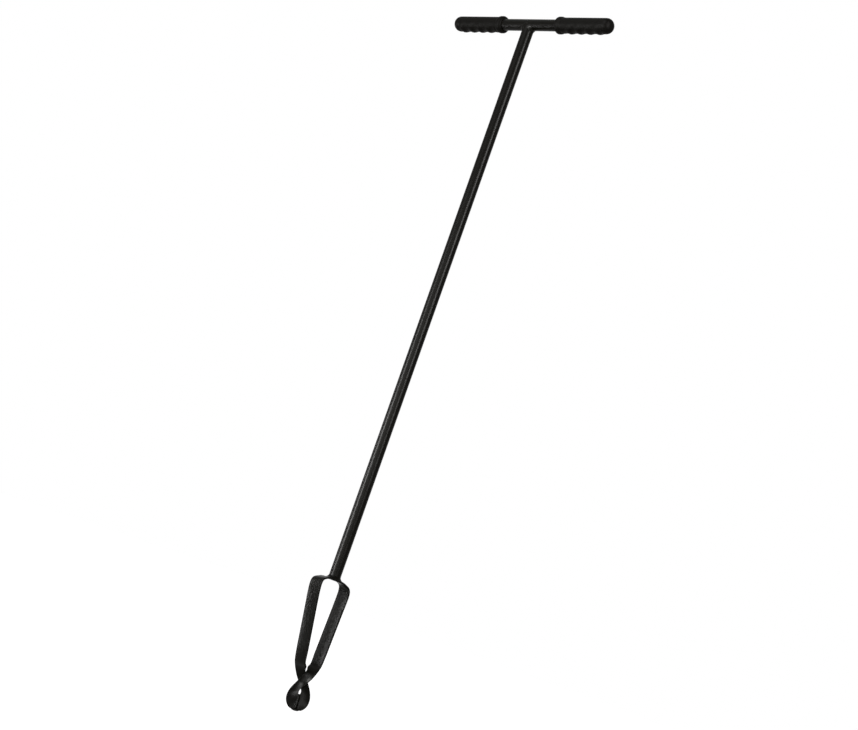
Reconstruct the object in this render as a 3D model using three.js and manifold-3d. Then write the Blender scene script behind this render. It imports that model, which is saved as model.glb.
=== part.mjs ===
// Hand soil auger: T handle with two grips, tube shaft, bow, and two blades that cross and end in a point.
// Millimetres, +Z up. The origin is on the shaft's axis at the height of the point.
import * as THREE from "three";
import { mergeVertices } from "three/addons/utils/BufferGeometryUtils.js";
import Module from "manifold-3d";

const wasm = await Module();
wasm.setup();

// Tubes
const tubeRadius = 10;
const tubeWall = 1.5;
const handleAxisHeight = 1216;
const handleHalfLength = 182.5;
const handleOffset = 3.5;

// Grips
const gripLength = 119.5;
const gripRadius = 13.1;
const gripTopRadius = 13.4;
const gripLip = 1.1;
const gripEndWall = 4.5;
const gripDomeLength = 13;
const flangeRadius = 14.8;
const flangeWidth = 5;
const flangeCone = 4;
const flangeLand = 4;
const fingerPitch = 21;
const fingerLead = 7.4;
const fingerGrooves = 4;
const fingerDepth = 1.6;
const fingerSharpness = 3;
const fingerSpread = 1.5;
const domeSquareness = 2.4;

// Head
const headLength = 221.9;
const headLean = THREE.MathUtils.degToRad(3.3);
const headLeanAzimuth = THREE.MathUtils.degToRad(47);
const headLeanDepth = 33.3;
const strapWidth = 27;
const strapThickness = 3;
const strapCrown = 0.8;
const bowHalfWidth = 31.6;
const bowDepth = 36.3;
const bowArch = 5;
const crownFlatShare = 0.53;
const crownReachShare = 1.03;
const crownTwist = 1.5;
const crownTwistStart = 8;
const crownTwistEnd = 20;
const legReachShare = 0.85;
const legEndHalfWidth = 19.8;
const legEndDepth = 131.3;
const pointRadius = 19.2;
const pointThicknessShare = 0.7;
const pointTrim = 2.8;
const pointBeadLength = 8.5;
const pointBeadWidth = 6.5;

// Welds and clearances
const clearance = 0.3;
const handleWeldLeg = 5.5;
const handleWeldSideShare = 0.55;
const handleWeldThroatShare = 0.42;
const handleWeldSideThroat = 1.1;
const handleWeldHollowShare = 0.12;
const headWeldLeg = 6;
const headWeldSideLeg = 2;
const headWeldHeight = 5;
const seamLength = 3;
const weldRoot = 2.5;
const weldToe = 0.35;

// Facets
const tubeSides = 48;
const gripSides = 28;
const flangeSteps = 3;
const fingerSteps = 6;
const domeSteps = 7;
const strapFacets = 6;
const shoulderSteps = 16;
const bladeSteps = 60;
const weldSteps = 5;

const strapHalf = strapWidth / 2;
const crownSink = headLeanDepth * (1 - Math.cos(headLean));
const paint = new THREE.MeshStandardMaterial({ color: 0x1b1915, roughness: 0.42, metalness: 0.25 });
const rubber = new THREE.MeshStandardMaterial({ color: 0x171613, roughness: 0.62, metalness: 0 });

// Turns every face round if the skin they form points inwards.
function faceOut(positions, indices) {
  const corner = (i) => new THREE.Vector3().fromArray(positions, 3 * indices[i]);
  let volume = 0;
  for (let i = 0; i < indices.length; i += 3) volume += corner(i).dot(corner(i + 1).cross(corner(i + 2)));
  if (volume < 0) indices.reverse();
}

function closedMesh(name, positions, indices, material) {
  faceOut(positions, indices);
  const geometry = new THREE.BufferGeometry();
  geometry.setAttribute("position", new THREE.Float32BufferAttribute(positions, 3));
  geometry.setIndex(indices);
  const mesh = new THREE.Mesh(geometry, material);
  mesh.name = name;
  return mesh;
}

// Joins rings of points, each with the same count, into one skin. A ring that is one point is a pole.
function skin(rings, { loop = false } = {}) {
  const sides = Math.max(...rings.map((ring) => ring.length));
  const positions = [];
  const starts = [];
  for (const ring of rings) {
    starts.push(positions.length / 3);
    for (const p of ring) positions.push(p.x, p.y, p.z);
  }
  const indices = [];
  const at = (ring, side) => starts[ring] + (rings[ring].length === 1 ? 0 : side % sides);
  const spans = loop ? rings.length : rings.length - 1;
  for (let i = 0; i < spans; i++) {
    const j = (i + 1) % rings.length;
    for (let k = 0; k < sides; k++) {
      if (rings[i].length > 1) indices.push(at(i, k), at(i, k + 1), at(j, k));
      if (rings[j].length > 1) indices.push(at(i, k + 1), at(j, k + 1), at(j, k));
    }
  }
  return { positions, indices };
}

function solidOf(geometry) {
  const bare = geometry.clone();
  bare.deleteAttribute("normal");
  bare.deleteAttribute("uv");
  const merged = mergeVertices(bare, clearance / 1000);
  const mesh = new wasm.Mesh({
    numProp: 3,
    vertProperties: new Float32Array(merged.attributes.position.array),
    triVerts: new Uint32Array(merged.index.array),
  });
  return new wasm.Manifold(mesh);
}

function meshOf(name, solid, material) {
  const made = solid.getMesh();
  return closedMesh(name, Array.from(made.vertProperties), Array.from(made.triVerts), material);
}

// A tube or bar along Z between two heights. With no bore it is solid.
function roundBar(radius, bore, low, high) {
  const profile = [
    new THREE.Vector2(bore, low),
    new THREE.Vector2(radius, low),
    new THREE.Vector2(radius, high),
    new THREE.Vector2(bore, high),
  ];
  if (bore > 0) profile.push(profile[0].clone());
  return new THREE.LatheGeometry(profile, tubeSides).rotateX(Math.PI / 2);
}

// The crossbar's outside, grown by a clearance, as a cutting tool.
function crossbarCutter(grow) {
  const geometry = roundBar(tubeRadius + grow, 0, -handleHalfLength, handleHalfLength);
  return geometry.rotateY(Math.PI / 2).translate(handleOffset, 0, handleAxisHeight);
}

function makeCrossbar() {
  const half = handleHalfLength - gripEndWall - clearance;
  const geometry = roundBar(tubeRadius, tubeRadius - tubeWall, -half, half);
  const mesh = new THREE.Mesh(geometry, paint);
  mesh.name = "crossbar";
  mesh.rotation.y = Math.PI / 2;
  mesh.position.set(handleOffset, 0, handleAxisHeight);
  return mesh;
}

// The shaft stands on the crown and is coped round the crossbar.
function makeShaft() {
  const low = headLength - crownSink + clearance;
  const tube = solidOf(roundBar(tubeRadius, tubeRadius - tubeWall, low, handleAxisHeight));
  return meshOf("shaft", tube.subtract(solidOf(crossbarCutter(clearance))), paint);
}

// Radius of the grip's outside at a distance from its inner end, on the top or on the finger side.
function gripOuter(distance, underside) {
  const body = THREE.MathUtils.lerp(gripTopRadius, gripRadius, underside);
  if (distance < flangeCone) {
    const rise = Math.sin((distance / flangeCone) * (Math.PI / 2));
    return THREE.MathUtils.lerp(tubeRadius + clearance + gripLip, flangeRadius, rise);
  }
  const afterLand = distance - flangeCone - flangeLand;
  if (afterLand < flangeWidth) {
    const fall = (1 - Math.cos((Math.max(0, afterLand) / flangeWidth) * Math.PI)) / 2;
    return THREE.MathUtils.lerp(flangeRadius, body, fall);
  }
  const domeStart = gripLength - gripDomeLength;
  if (distance > domeStart) {
    const share = Math.min((distance - domeStart) / gripDomeLength, 1);
    return body * Math.pow(1 - Math.pow(share, domeSquareness), 1 / domeSquareness);
  }
  const grooves = (distance - flangeCone - fingerLead) / fingerPitch;
  if (grooves > fingerGrooves + 0.5) return body;
  const ridge = Math.pow(Math.abs(Math.cos(Math.PI * grooves)), fingerSharpness);
  return body + underside * fingerDepth * ridge * Math.min(1, (afterLand - flangeWidth) / flangeWidth);
}

// A grip lies along +X from its inner end, with its finger grooves facing down.
function gripRings() {
  const rings = [];
  const ring = (x, radiusAt) => {
    const points = [];
    for (let k = 0; k < gripSides; k++) {
      const angle = (k / gripSides) * 2 * Math.PI;
      const r = radiusAt(angle);
      points.push(new THREE.Vector3(x, r * Math.cos(angle), r * Math.sin(angle)));
    }
    return points;
  };
  const boreEnd = gripLength - gripEndWall;
  rings.push([new THREE.Vector3(boreEnd, 0, 0)]);
  rings.push(ring(boreEnd, () => tubeRadius + clearance));
  rings.push(ring(0, () => tubeRadius + clearance));
  const underside = (angle) => Math.pow(Math.max(0, -Math.sin(angle)), fingerSpread);
  const distances = [0];
  for (let i = 1; i <= flangeSteps; i++) distances.push((flangeCone * i) / flangeSteps);
  const landEnd = flangeCone + flangeLand;
  for (let i = 0; i <= flangeSteps; i++) distances.push(landEnd + (flangeWidth * i) / flangeSteps);
  const domeStart = gripLength - gripDomeLength;
  for (let i = 1; i <= (fingerGrooves + 0.5) * fingerSteps; i++) {
    const distance = flangeCone + fingerLead + (fingerPitch * i) / fingerSteps;
    const isPastFlange = distance > landEnd + flangeWidth + clearance;
    if (isPastFlange && distance < domeStart - clearance) distances.push(distance);
  }
  distances.push(domeStart);
  for (let i = 1; i < domeSteps; i++) {
    distances.push(domeStart + gripDomeLength * Math.sin((i / domeSteps) * (Math.PI / 2)));
  }
  for (const d of distances) rings.push(ring(d, (angle) => gripOuter(d, underside(angle))));
  rings.push([new THREE.Vector3(gripLength, 0, 0)]);
  return rings;
}

function makeGrip(name, side) {
  const { positions, indices } = skin(gripRings());
  const mesh = closedMesh(name, positions, indices, rubber);
  mesh.position.set(handleOffset + side * (handleHalfLength - gripLength), 0, handleAxisHeight);
  mesh.scale.x = side;
  return mesh;
}

// Fillet between the crossbar and the shaft. Each section stands on the line where the two tubes meet.
function makeHandleWeld() {
  const rings = [];
  for (let k = 0; k < tubeSides; k++) {
    const angle = (k / tubeSides) * 2 * Math.PI;
    const across = Math.cos(angle);
    const along = Math.sin(angle);
    const meetingHeight = handleAxisHeight - tubeRadius * Math.abs(across);
    const shaftNormal = new THREE.Vector3(across, along, 0);
    const barNormal = new THREE.Vector3(0, along, -Math.abs(across));
    const outward = shaftNormal.clone().add(barNormal).normalize();
    const corner = new THREE.Vector3(tubeRadius * across, tubeRadius * along, meetingHeight);
    const leg = handleWeldLeg * THREE.MathUtils.lerp(handleWeldSideShare, 1, Math.abs(across));
    const shaftToe = shaftNormal.clone().multiplyScalar(tubeRadius + clearance + weldToe);
    shaftToe.z = meetingHeight - leg;
    const barTurn = Math.asin(along) + (leg / tubeRadius) * along * Math.abs(along) * handleWeldSideShare;
    const barReach = tubeRadius + clearance + weldToe;
    const barToe = new THREE.Vector3(
      corner.x + leg * across,
      barReach * Math.sin(barTurn),
      handleAxisHeight - barReach * Math.cos(barTurn),
    );
    const cornerThroat = handleWeldThroatShare * handleWeldLeg;
    const throat = THREE.MathUtils.lerp(handleWeldSideThroat, cornerThroat, across ** 2);
    const middle = corner.clone().addScaledVector(outward, throat + clearance);
    const root = corner.clone().addScaledVector(outward, -weldRoot);
    const hollow = -throat * handleWeldHollowShare;
    const between = (a, b) => a.clone().lerp(b, 0.5).addScaledVector(outward, hollow);
    rings.push([root, shaftToe, between(shaftToe, middle), middle, between(middle, barToe), barToe]);
  }
  const { positions, indices } = skin(rings, { loop: true });
  const bead = closedMesh("bead", positions, indices, paint).geometry;
  const shaftCutter = roundBar(tubeRadius + clearance, 0, headLength, handleAxisHeight);
  const cut = solidOf(bead).subtract(solidOf(crossbarCutter(clearance)).add(solidOf(shaftCutter)));
  return meshOf("handle_weld", cut, paint);
}

// Fillet round the shaft's foot: wide along the bow, narrow at the strap's edges, and cut by the bow.
function makeHeadWeld() {
  const rings = [];
  for (let i = 0; i <= weldSteps + 2; i++) {
    const points = [];
    for (let k = 0; k < tubeSides; k++) {
      const angle = (k / tubeSides) * 2 * Math.PI;
      const leg = THREE.MathUtils.lerp(headWeldSideLeg, headWeldLeg, Math.sin(angle) ** 2);
      const turn = THREE.MathUtils.clamp((i - 2) / (weldSteps - 1), 0, 1) * (Math.PI / 2);
      const isInside = i === 0 || i === weldSteps + 2;
      const r = tubeRadius + clearance + (isInside ? 0 : weldToe + leg * (1 - Math.sin(turn)));
      const x = r * Math.cos(angle);
      const y = r * Math.sin(angle);
      const rise = i < 2 ? -weldRoot : weldToe + clearance + headWeldHeight * (1 - Math.cos(turn));
      points.push(new THREE.Vector3(x, y, headLength - crownSink + rise));
    }
    rings.push(points);
  }
  const { positions, indices } = skin(rings, { loop: true });
  const ring = solidOf(closedMesh("ring", positions, indices, paint).geometry);
  const slab = strapMesh("slab", bowRings(strapHalf + headWeldLeg, strapThickness + clearance * 2)).geometry;
  slab.applyMatrix4(headMatrix());
  return meshOf("head_weld", ring.subtract(solidOf(slab)), paint);
}

// The head's own frame: z = 0 on the crown's top, down is negative, the bow's plane is YZ. The head leans
// about a point inside the bow, so the crown's middle stands a little off the shaft's axis.
function headMatrix() {
  const axis = new THREE.Vector3(Math.sin(headLeanAzimuth), -Math.cos(headLeanAzimuth), 0);
  const matrix = new THREE.Matrix4().makeTranslation(0, 0, headLength - headLeanDepth);
  matrix.multiply(new THREE.Matrix4().makeRotationAxis(axis, headLean));
  return matrix.multiply(new THREE.Matrix4().makeTranslation(0, 0, headLeanDepth));
}

// Strap sections: a slightly arched bar between two edges, as one ring of points.
function strapRing(left, right, normal, thickness, crown) {
  const ring = [];
  const middle = left.clone().add(right).multiplyScalar(0.5);
  const half = right.clone().sub(left).multiplyScalar(0.5);
  for (const face of [1, -1]) {
    for (let i = 0; i <= strapFacets; i++) {
      const across = face * ((2 * i) / strapFacets - 1);
      const lift = crown * (1 - across * across) + (face * thickness) / 2;
      ring.push(middle.clone().addScaledVector(half, across).addScaledVector(normal, lift));
    }
  }
  return ring;
}

// A skin of strap sections, closed at both ends by strips between the two faces.
function strapSkin(rings) {
  const { positions, indices } = skin(rings);
  const sides = rings[0].length;
  const last = (rings.length - 1) * sides;
  for (let i = 0; i < strapFacets; i++) {
    const [a, b, c, d] = [i, i + 1, sides - 2 - i, sides - 1 - i];
    indices.push(a, c, b, a, d, c);
    indices.push(last + a, last + b, last + c, last + a, last + c, last + d);
  }
  return { positions, indices };
}

function strapMesh(name, rings) {
  const { positions, indices } = strapSkin(rings);
  return closedMesh(name, positions, indices, paint);
}

// Half width of the leg's middle line at a depth below the crown's top.
function legHalfWidth(depth) {
  const share = (depth - bowDepth) / (legEndDepth - bowDepth);
  return THREE.MathUtils.lerp(bowHalfWidth, legEndHalfWidth, share);
}

// Outward direction of the right leg's flat side.
const legSlope = (bowHalfWidth - legEndHalfWidth) / (legEndDepth - bowDepth);
const legOutward = new THREE.Vector3(0, 1, -legSlope).normalize();

// A section of the right leg, square to it, at a depth below the crown's top.
function legRing(depth) {
  const low = new THREE.Vector3(-strapHalf, legHalfWidth(depth), -depth);
  const high = new THREE.Vector3(strapHalf, legHalfWidth(depth), -depth);
  return strapRing(low, high, legOutward, strapThickness, strapCrown);
}

// How far a place on the bow is lifted off the legs' leaning frame. The crown lies level, square to the
// shaft, and its shoulders twist a little. Both fade out down to the legs.
function crownLift({ x, y, z }) {
  const level = -(x * Math.cos(headLeanAzimuth) + y * Math.sin(headLeanAzimuth)) * Math.tan(headLean);
  const twistShare = THREE.MathUtils.smoothstep(Math.abs(y), crownTwistStart, crownTwistEnd);
  const twist = -crownTwist * (x / strapHalf) * Math.sign(y) * twistShare;
  const fade = 1 - THREE.MathUtils.smoothstep(-z, bowArch + strapThickness, bowDepth);
  return (level + twist) * fade;
}

// Middle line of the right half of the bow, from the crown's flat middle to the leg.
function shoulderPath() {
  const middleDepth = strapThickness / 2;
  const rise = bowDepth * legReachShare;
  const end = new THREE.Vector3(0, bowHalfWidth, -bowDepth);
  const handle = new THREE.Vector3(0, bowHalfWidth + legSlope * rise, rise - bowDepth);
  const crownEnd = new THREE.Vector3(0, bowHalfWidth * crownFlatShare, -middleDepth);
  const reach = new THREE.Vector3(0, bowHalfWidth * crownReachShare, -middleDepth - bowArch);
  const shoulder = new THREE.CubicBezierCurve3(crownEnd, reach, handle, end);
  const flatStart = new THREE.Vector3(0, crownTwistStart, -middleDepth);
  const flatMiddle = flatStart.clone().lerp(crownEnd, 0.5);
  return [flatStart, flatMiddle, ...shoulder.getSpacedPoints(shoulderSteps)];
}

// Strap sections over the whole bow. The left half is the right half turned half round.
function bowRings(halfWidth, thickness) {
  const path = shoulderPath();
  const right = path.slice(0, -1).map((point, i) => {
    const before = path[Math.max(0, i - 1)];
    const forward = path[i + 1].clone().sub(before).normalize();
    const outward = new THREE.Vector3(0, -forward.z, forward.y);
    const low = new THREE.Vector3(-halfWidth, point.y, point.z);
    const high = new THREE.Vector3(halfWidth, point.y, point.z);
    const crown = strapCrown * THREE.MathUtils.smoothstep(-point.z, bowArch + strapThickness, bowDepth);
    return strapRing(low, high, outward, thickness, crown);
  });
  right.push(legRing(bowDepth));
  const halfTurn = new THREE.Matrix4().makeRotationZ(Math.PI);
  const left = right.map((ring) => {
    const turned = ring.map((point) => point.clone().applyMatrix4(halfTurn));
    const faces = [turned.slice(0, strapFacets + 1), turned.slice(strapFacets + 1)];
    return faces.flatMap((face) => face.reverse());
  });
  const rings = left.reverse().concat(right);
  const isLegEnd = (i) => i === 0 || i === rings.length - 1;
  for (const [i, ring] of rings.entries()) {
    if (!isLegEnd(i)) for (const point of ring) point.z += crownLift(point);
  }
  return rings;
}

function makeBow() {
  return strapMesh("bow", bowRings(strapHalf, strapThickness));
}

// The blade's two edges below the leg, in a frame turned by the crossing's azimuth. Each place is a depth
// share between the leg's end and the point, a share of the point's radius across, a share of it towards
// the front, and a share of the strap's thickness that is added to the front. The sweeping edge swings
// round the axis from behind to the left of the point. The lapping edge comes in from the right and then
// runs down past the axis, clear of the other blade.
const sweepingEdgeShares = [
  [0.125, 0.27, -0.88, 0],
  [0.195, 0.09, -0.45, 0],
  [0.25, 0.06, 0, -0.5],
  [0.3, -0.01, 0, 0.36],
  [0.36, -0.17, 0, 1.2],
  [0.43, -0.365, 0.2, 1],
  [0.505, -0.56, 0.25, 1],
  [0.585, -0.77, 0.24, 0.66],
  [0.665, -0.93, 0.1, 0.5],
  [0.745, -1.01, 0, 0],
  [0.82, -0.985, -0.2, 0],
  [0.88, -0.89, -0.28, 0],
  [0.94, -0.69, -0.24, 0],
  [0.978, -0.45, -0.14, 0],
];
const lappingEdgeShares = [
  [0.125, 1.14, 0.03, 0],
  [0.225, 1.0, 0.29, 0],
  [0.3, 0.85, 0.43, 0],
  [0.37, 0.69, 0.51, 0],
  [0.44, 0.49, 0.4, 0.5],
  [0.51, 0.26, 0.2, 1],
  [0.565, 0.08, 0.05, 1.2],
  [0.61, -0.05, 0, 1.1],
  [0.66, -0.09, 0, 0.8],
  [0.72, -0.03, 0, 0.67],
  [0.79, 0.04, 0, 0.69],
  [0.85, 0.06, 0, 0.73],
  [0.905, 0.065, 0, 0.86],
  [0.955, 0.06, 0, 0.98],
];

function edgePoint([depthShare, acrossShare, frontShare, thicknessShare]) {
  const depth = THREE.MathUtils.lerp(legEndDepth, headLength, depthShare);
  const across = acrossShare * pointRadius;
  const front = frontShare * pointRadius + thicknessShare * strapThickness;
  const point = new THREE.Vector3(across, -front, -depth);
  return point.applyAxisAngle(new THREE.Vector3(0, 0, 1), headLeanAzimuth);
}

// Where the leg's edges are pinned, as shares of its straight length.
const legPlaceShares = [0, 0.35, 0.7, 0.92];

// Where the strap starts and stops thinning, as shares of the blade's sections.
const thinShares = [0.6, 1];

function bladeRings() {
  const sweeping = [];
  const lapping = [];
  const legStart = bowDepth + clearance * 2 + seamLength;
  for (const placeShare of legPlaceShares) {
    const depth = THREE.MathUtils.lerp(legStart, legEndDepth, placeShare);
    sweeping.push(new THREE.Vector3(-strapHalf, legHalfWidth(depth), -depth));
    lapping.push(new THREE.Vector3(strapHalf, legHalfWidth(depth), -depth));
  }
  sweeping.push(...sweepingEdgeShares.map(edgePoint));
  lapping.push(...lappingEdgeShares.map(edgePoint));
  const lefts = new THREE.CatmullRomCurve3(sweeping, false, "centripetal").getPoints(bladeSteps);
  const rights = new THREE.CatmullRomCurve3(lapping, false, "centripetal").getPoints(bladeSteps);
  return lefts.map((left, i) => {
    const before = Math.max(0, i - 1);
    const after = Math.min(bladeSteps, i + 1);
    const down = lefts[after].clone().add(rights[after]).sub(lefts[before]).sub(rights[before]);
    const normal = down.cross(rights[i].clone().sub(left)).normalize();
    const thinned = THREE.MathUtils.smoothstep(i / bladeSteps, ...thinShares);
    const thickness = strapThickness * THREE.MathUtils.lerp(1, pointThicknessShare, thinned);
    return strapRing(left, rights[i], normal, thickness, -strapCrown);
  });
}

function makeBlade(name, turn) {
  const blade = strapMesh("blade", bladeRings()).geometry;
  const span = 2 * (bowHalfWidth + strapWidth);
  const trim = new THREE.BoxGeometry(span, span, headLength);
  trim.translate(0, 0, pointTrim - headLength - headLength / 2);
  const mesh = meshOf(name, solidOf(blade).subtract(solidOf(trim)), paint);
  mesh.rotation.z = turn;
  return mesh;
}

// Butt weld between the bow and a blade, ground flush with the strap.
function makeSeam(name, side) {
  const seamStart = bowDepth + clearance;
  const mesh = strapMesh(name, [legRing(seamStart), legRing(seamStart + seamLength)]);
  mesh.rotation.z = side > 0 ? 0 : Math.PI;
  return mesh;
}

// Bead under the two blade ends, flat on top and round below.
function makeTipWeld() {
  const height = pointTrim - clearance;
  const profile = [new THREE.Vector2(0, -height)];
  for (let i = 1; i <= weldSteps; i++) {
    const turn = (i / weldSteps) * (Math.PI / 2);
    profile.push(new THREE.Vector2(Math.sin(turn), -height * Math.cos(turn)));
  }
  profile.push(new THREE.Vector2(0, 0));
  const geometry = new THREE.LatheGeometry(profile, tubeSides / 2).rotateX(Math.PI / 2);
  geometry.scale(pointBeadLength, pointBeadWidth, 1);
  const mesh = new THREE.Mesh(geometry, paint);
  mesh.name = "tip_weld";
  mesh.position.z = -headLength + height;
  return mesh;
}

function makeHead() {
  const head = new THREE.Group();
  head.add(makeBow());
  head.add(makeSeam("right_blade_weld", 1), makeSeam("left_blade_weld", -1));
  head.add(makeBlade("right_blade", 0), makeBlade("left_blade", Math.PI));
  head.add(makeTipWeld());
  head.applyMatrix4(headMatrix());
  return head;
}

const auger = new THREE.Group();
auger.add(makeCrossbar(), makeGrip("left_grip", -1), makeGrip("right_grip", 1));
auger.add(makeHandleWeld(), makeShaft(), makeHeadWeld());
auger.add(makeHead());

export default auger;
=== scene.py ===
"""Soil auger, all black: a T handle with two moulded grips, a long tube and a narrow two-bladed head.

Lengths are in metres, with +Z up. The origin is on the shaft's axis at the height of the point.
"""

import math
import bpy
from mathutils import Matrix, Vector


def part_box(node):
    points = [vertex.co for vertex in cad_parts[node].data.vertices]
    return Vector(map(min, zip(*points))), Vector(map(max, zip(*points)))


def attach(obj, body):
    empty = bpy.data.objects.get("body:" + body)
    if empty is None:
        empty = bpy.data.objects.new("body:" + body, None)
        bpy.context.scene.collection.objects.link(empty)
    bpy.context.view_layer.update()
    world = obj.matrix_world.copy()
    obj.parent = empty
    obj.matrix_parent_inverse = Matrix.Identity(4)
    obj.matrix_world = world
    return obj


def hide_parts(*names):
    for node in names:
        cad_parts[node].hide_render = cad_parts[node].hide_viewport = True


bl_info = {
    "name": "Soil Auger",
    "version": (1, 0, 0),
    "blender": (4, 5, 0),
    "location": "View3D > Sidebar > Soil Auger",
    "description": "Builds a hand soil auger, its finishes and a plain studio round it",
    "category": "Object",
}

import bpy
import numpy as np
from bpy.props import FloatProperty, FloatVectorProperty, IntProperty, PointerProperty
from mathutils import Matrix

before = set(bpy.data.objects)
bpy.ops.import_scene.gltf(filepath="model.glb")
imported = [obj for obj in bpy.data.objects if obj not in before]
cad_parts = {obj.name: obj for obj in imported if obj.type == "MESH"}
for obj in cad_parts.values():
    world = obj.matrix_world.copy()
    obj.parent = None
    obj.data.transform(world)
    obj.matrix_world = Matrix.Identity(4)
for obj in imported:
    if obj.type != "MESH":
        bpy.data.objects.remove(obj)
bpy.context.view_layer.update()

MM = 0.001
BODY = "root"
CROSSBAR_LOW, CROSSBAR_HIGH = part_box("crossbar")
SHAFT_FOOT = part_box("shaft")[0].z
GRIP_LOW, GRIP_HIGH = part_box("right_grip")

# Places and sizes that the solids fix
TUBE_RADIUS = (CROSSBAR_HIGH.y - CROSSBAR_LOW.y) / 2
HANDLE_HEIGHT = (CROSSBAR_HIGH.z + CROSSBAR_LOW.z) / 2
HANDLE_MIDDLE = (CROSSBAR_HIGH.x + CROSSBAR_LOW.x) / 2
CLEARANCE = 0.3 * MM
HEAD_LENGTH = 221.9 * MM
HEAD_LEAN = math.radians(3.3)
LEAN_AZIMUTH = math.radians(47)
LEAN_DEPTH = 33.3 * MM
LEAN_SINK = LEAN_DEPTH * (1 - math.cos(HEAD_LEAN))
BOW_HALF_WIDTH = 31.6 * MM
BOW_DEPTH = 36.3 * MM
BOW_ARCH = 5 * MM
CROWN_FLAT_SHARE = 0.53
CROWN_REACH_SHARE = 1.03
CROWN_TWIST = 1.5 * MM
TWIST_START = 8 * MM
TWIST_END = 20 * MM
TWIST_REACH = 13.5 * MM
LEG_REACH_SHARE = 0.85
LEG_END_HALF_WIDTH = 19.8 * MM
LEG_END_DEPTH = 131.3 * MM
POINT_RADIUS = 19.2 * MM
BLADE_START = BOW_DEPTH + 0.6 * MM

# The blade's two edges below the leg: depth share to the point, shares of the point's radius across and
# to the front, and a share of the strap's thickness that is added to the front.
SWEEPING_EDGE = np.array([
    [0.125, 0.23, -0.88, 0],
    [0.195, 0.06, -0.45, 0],
    [0.25, 0.06, 0, -0.5],
    [0.3, -0.01, 0, 0.36],
    [0.36, -0.17, 0, 1.2],
    [0.43, -0.365, 0.2, 1],
    [0.505, -0.56, 0.25, 1],
    [0.585, -0.77, 0.24, 0.66],
    [0.665, -0.93, 0.1, 0.5],
    [0.745, -1.01, 0, 0],
    [0.82, -0.985, -0.2, 0],
    [0.88, -0.89, -0.28, 0],
    [0.94, -0.69, -0.24, 0],
    [0.978, -0.45, -0.14, 0],
])
LAPPING_EDGE = np.array([
    [0.125, 1.14, 0.03, 0],
    [0.225, 1.0, 0.29, 0],
    [0.3, 0.85, 0.43, 0],
    [0.37, 0.69, 0.51, 0],
    [0.44, 0.49, 0.4, 0.5],
    [0.51, 0.26, 0.2, 1],
    [0.565, 0.08, 0.05, 1.2],
    [0.61, -0.05, 0, 1.1],
    [0.66, -0.09, 0, 0.8],
    [0.72, -0.03, 0, 0.67],
    [0.79, 0.04, 0, 0.69],
    [0.85, 0.06, 0, 0.73],
    [0.905, 0.065, 0, 0.86],
    [0.955, 0.06, 0, 0.98],
])
LEG_PLACES = np.array([0, 0.35, 0.7, 0.92])


# Curves and grids


def lerp(start, end, share):
    return start + (end - start) * share


def smoothstep(value, low, high):
    """Rises from 0 at low to 1 at high as three times the share squared less twice its cube."""
    share = np.clip((value - low) / (high - low), 0, 1)
    return share * share * (3 - 2 * share)


def unit(vectors):
    return vectors / np.linalg.norm(vectors, axis=-1, keepdims=True)


def turned_about_z(points, angle):
    """Turns points about Z by the angle: x and y are mixed by its cosine and sine."""
    c, s = math.cos(angle), math.sin(angle)
    return points @ np.array([[c, s, 0], [-s, c, 0], [0, 0, 1]])


def head_to_world(points):
    """Leans the head's own frame about a point LEAN_DEPTH below the crown, and lifts it to its height."""
    axis = (math.sin(LEAN_AZIMUTH), -math.cos(LEAN_AZIMUTH), 0)
    lean = np.array(Matrix.Rotation(HEAD_LEAN, 3, axis))
    return (points + [0, 0, LEAN_DEPTH]) @ lean.T + [0, 0, HEAD_LENGTH - LEAN_DEPTH]


def spline_points(controls, places):
    """Centripetal Catmull-Rom curve through the controls. A place counts controls from the first one.

    Between two controls it is the cubic whose end slopes come from the neighbours, weighed by the
    square roots of the distances between them.
    """
    first = 2 * controls[0] - controls[1]
    last = 2 * controls[-1] - controls[-2]
    knots = np.vstack([first, controls, last])
    segment = np.clip(np.floor(places).astype(int), 0, len(controls) - 2)
    t = (places - segment)[:, None]
    p0, p1, p2, p3 = (knots[segment + i] for i in range(4))
    gaps = np.sqrt(np.linalg.norm(np.diff(knots, axis=0), axis=1))[:, None]
    d0, d1, d2 = (gaps[segment + i] for i in range(3))
    slope_in = d1 * ((p1 - p0) / d0 - (p2 - p0) / (d0 + d1) + (p2 - p1) / d1)
    slope_out = d1 * ((p2 - p1) / d1 - (p3 - p1) / (d1 + d2) + (p3 - p2) / d2)
    c2 = -3 * p1 + 3 * p2 - 2 * slope_in - slope_out
    c3 = 2 * p1 - 2 * p2 + slope_in + slope_out
    return p1 + slope_in * t + c2 * t**2 + c3 * t**3


def grid_faces(rows, columns, loop):
    """Quads between neighbouring rows of points. Columns always close, rows only in a loop."""
    spans = rows if loop else rows - 1
    i, k = np.meshgrid(np.arange(spans), np.arange(columns), indexing="ij")
    below, right = (i + 1) % rows, (k + 1) % columns
    quads = [i * columns + k, i * columns + right, below * columns + right, below * columns + k]
    return np.stack(quads, axis=-1).reshape(-1, 4)


def signed_volume(points, triangles):
    """A sixth of the sum of the box products of each triangle's corners."""
    a, b, c = (points[triangles[:, i]] for i in range(3))
    return np.einsum("ij,ij->i", a, np.cross(b, c)).sum() / 6


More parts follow.
